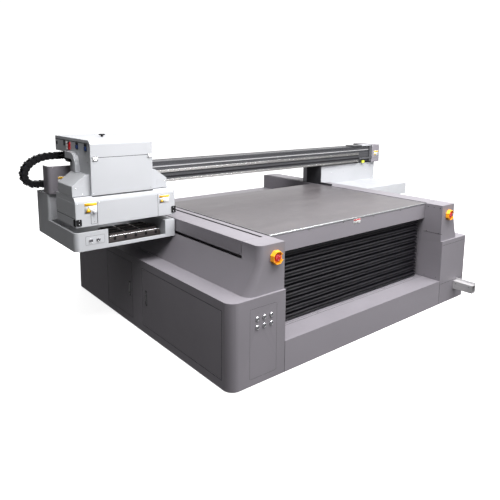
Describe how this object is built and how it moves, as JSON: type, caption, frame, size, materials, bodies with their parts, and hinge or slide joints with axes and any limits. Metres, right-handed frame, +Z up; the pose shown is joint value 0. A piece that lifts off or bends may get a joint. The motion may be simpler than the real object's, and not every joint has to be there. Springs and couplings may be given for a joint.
{
  "type": "flatbed uv printer",
  "caption": "Flatbed UV printer: a moving gantry with a print carriage over a lifting vacuum table, on a sheet-steel base with side cabinets and front bellows.",
  "frame": {"origin": "middle of the footprint, on the floor, with the gantry and carriage parked", "axes": "+X along the gantry beam to the operator's right, +Y to the rear, +Z up"},
  "size_m": [4.263, 2.74, 1.624],
  "materials": {
    "graphite_paint": "fine satin powder coat, warm graphite grey",
    "white_paint": "fine satin powder coat, cool white",
    "dark_frame_paint": "satin black frame enamel",
    "rail_steel": "ground linear guide steel",
    "bright_metal": "bright plated zinc",
    "stainless": "brushed stainless sheet",
    "yellow_plastic": "moulded safety yellow",
    "red_plastic": "moulded signal red",
    "table_aluminium": "hard anodised fine-drilled vacuum table, warm dark grey",
    "bellows_fabric": "coated polyester bellows cloth",
    "black_anodised": "black anodised aluminium",
    "capping_metal": "stained steel capping frame",
    "black_plastic": "glass-filled nylon",
    "black_rubber": "moulded foot rubber",
    "button_chrome": "round metal push buttons"
  },
  "bodies": {
    "base": {"base_frame": "dark_frame_paint", "levelling_foot_1": "black_rubber", "levelling_foot_2": "black_rubber", "levelling_foot_3": "black_rubber", "levelling_foot_4": "black_rubber", "left_linear_rail": "rail_steel", "right_linear_rail": "rail_steel", "left_lower_casing": "graphite_paint", "right_lower_casing": "graphite_paint", "left_upper_casing": "graphite_paint", "right_upper_casing": "graphite_paint", "left_rail_cover": "graphite_paint", "right_rail_cover": "graphite_paint", "left_inner_panel": "graphite_paint", "right_inner_panel": "graphite_paint", "front_sill": "graphite_paint", "rear_casing": "graphite_paint", "cable_channel": "stainless", "left_estop_guard": "yellow_plastic", "right_estop_guard": "yellow_plastic"},
    "table": {"bed_plate": "table_aluminium", "front_fascia": "graphite_paint", "lift_column": "rail_steel", "bellows": "bellows_fabric"},
    "front_door": {"front_door": "graphite_paint"},
    "rear_door": {"rear_door": "graphite_paint"},
    "front_door_handle": {"front_door_handle": "bright_metal"},
    "rear_door_handle": {"rear_door_handle": "bright_metal"},
    "left_estop_button": {"left_estop_button": "red_plastic"},
    "right_estop_button": {"right_estop_button": "red_plastic"},
    "gantry": {"gantry_beam": "black_anodised", "upper_beam_rail": "rail_steel", "lower_beam_rail": "rail_steel", "left_gantry_leg": "black_anodised", "right_gantry_leg": "black_anodised", "left_station_casing": "white_paint", "right_station_casing": "white_paint", "left_end_cover": "graphite_paint", "right_end_cover": "graphite_paint"},
    "capping_unit": {"capping_unit": "capping_metal"},
    "carriage": {"carriage_housing": "white_paint", "carriage_skirt": "white_paint", "left_lamp_housing": "white_paint", "right_lamp_housing": "white_paint", "carriage_plate": "black_anodised", "print_head_block": "black_anodised", "cable_duct": "white_paint", "drag_chain_end": "black_plastic"},
    "left_cover_latch": {"left_cover_latch": "bright_metal"},
    "right_cover_latch": {"right_cover_latch": "bright_metal"},
    "cover_knob": {"cover_knob": "black_plastic"},
    "drag_chain": {"drag_chain": "black_plastic"},
    "service_button_1": {"service_button_1": "button_chrome"},
    "service_button_2": {"service_button_2": "button_chrome"},
    "service_button_3": {"service_button_3": "button_chrome"},
    "service_button_4": {"service_button_4": "button_chrome"},
    "service_button_5": {"service_button_5": "button_chrome"},
    "service_button_6": {"service_button_6": "button_chrome"},
    "station_button_1": {"station_button_1": "button_chrome"},
    "station_button_2": {"station_button_2": "button_chrome"}
  },
  "joints": [
    {"name": "gantry_travel", "type": "slide", "parent": "base", "child": "gantry", "axis": [0, 1, 0], "range_m": [-0.99, 0.5]},
    {"name": "carriage_travel", "type": "slide", "parent": "gantry", "child": "carriage", "axis": [1, 0, 0], "range_m": [0, 3.1]},
    {"name": "chain_travel", "type": "slide", "parent": "carriage", "child": "drag_chain", "axis": [-1, 0, 0], "range_m": [0, 1.55]},
    {"name": "table_lift", "type": "slide", "parent": "base", "child": "table", "axis": [0, 0, 1], "range_m": [-0.25, 0], "deforming": ["bellows"]},
    {"name": "front_door_hinge", "type": "hinge", "parent": "base", "child": "front_door", "pos_m": [-1.3985, -1.0775, 0.3], "axis": [0, 0, 1], "range_deg": [0, 110]},
    {"name": "rear_door_hinge", "type": "hinge", "parent": "base", "child": "rear_door", "pos_m": [-1.3985, 0.6835, 0.3], "axis": [0, 0, -1], "range_deg": [0, 110]},
    {"name": "front_door_handle_hinge", "type": "hinge", "parent": "front_door", "child": "front_door_handle", "pos_m": [-1.399, -0.041, 0.316], "axis": [0, 0, -1], "range_deg": [0, 35]},
    {"name": "rear_door_handle_hinge", "type": "hinge", "parent": "rear_door", "child": "rear_door_handle", "pos_m": [-1.399, 0.23, 0.316], "axis": [0, 0, 1], "range_deg": [0, 35]},
    {"name": "left_estop_press", "type": "slide", "parent": "base", "child": "left_estop_button", "axis": [0, 1, 0], "range_m": [0, 0.005], "stiffness_N_per_m": 2500},
    {"name": "right_estop_press", "type": "slide", "parent": "base", "child": "right_estop_button", "axis": [0, 1, 0], "range_m": [0, 0.005], "stiffness_N_per_m": 2500},
    {"name": "service_button_1_press", "type": "slide", "parent": "base", "child": "service_button_1", "axis": [0, 1, 0], "range_m": [0, 0.004], "stiffness_N_per_m": 1000},
    {"name": "service_button_2_press", "type": "slide", "parent": "base", "child": "service_button_2", "axis": [0, 1, 0], "range_m": [0, 0.004], "stiffness_N_per_m": 1000},
    {"name": "service_button_3_press", "type": "slide", "parent": "base", "child": "service_button_3", "axis": [0, 1, 0], "range_m": [0, 0.004], "stiffness_N_per_m": 1000},
    {"name": "service_button_4_press", "type": "slide", "parent": "base", "child": "service_button_4", "axis": [0, 1, 0], "range_m": [0, 0.004], "stiffness_N_per_m": 1000},
    {"name": "service_button_5_press", "type": "slide", "parent": "base", "child": "service_button_5", "axis": [0, 1, 0], "range_m": [0, 0.004], "stiffness_N_per_m": 1000},
    {"name": "service_button_6_press", "type": "slide", "parent": "base", "child": "service_button_6", "axis": [0, 1, 0], "range_m": [0, 0.004], "stiffness_N_per_m": 1000},
    {"name": "station_button_1_press", "type": "slide", "parent": "gantry", "child": "station_button_1", "axis": [0, 1, 0], "range_m": [0, 0.004], "stiffness_N_per_m": 1000},
    {"name": "station_button_2_press", "type": "slide", "parent": "gantry", "child": "station_button_2", "axis": [0, 1, 0], "range_m": [0, 0.004], "stiffness_N_per_m": 1000},
    {"name": "capping_lift", "type": "slide", "parent": "gantry", "child": "capping_unit", "axis": [0, 0, 1], "range_m": [0, 0.04]},
    {"name": "left_latch_hinge", "type": "hinge", "parent": "carriage", "child": "left_cover_latch", "pos_m": [-1.7905, -0.09, 1.48], "axis": [-1, 0, 0], "range_deg": [0, 60]},
    {"name": "right_latch_hinge", "type": "hinge", "parent": "carriage", "child": "right_cover_latch", "pos_m": [-1.3545, -0.09, 1.48], "axis": [-1, 0, 0], "range_deg": [0, 60]},
    {"name": "cover_knob_turn", "type": "hinge", "parent": "carriage", "child": "cover_knob", "pos_m": [-1.5885, 0.255, 1.612], "axis": [0, 0, 1], "range_deg": [0, 90]}
  ],
  "couplings": [
    {"joint": "chain_travel", "follows": "carriage_travel", "ratio": 0.5}
  ]
}
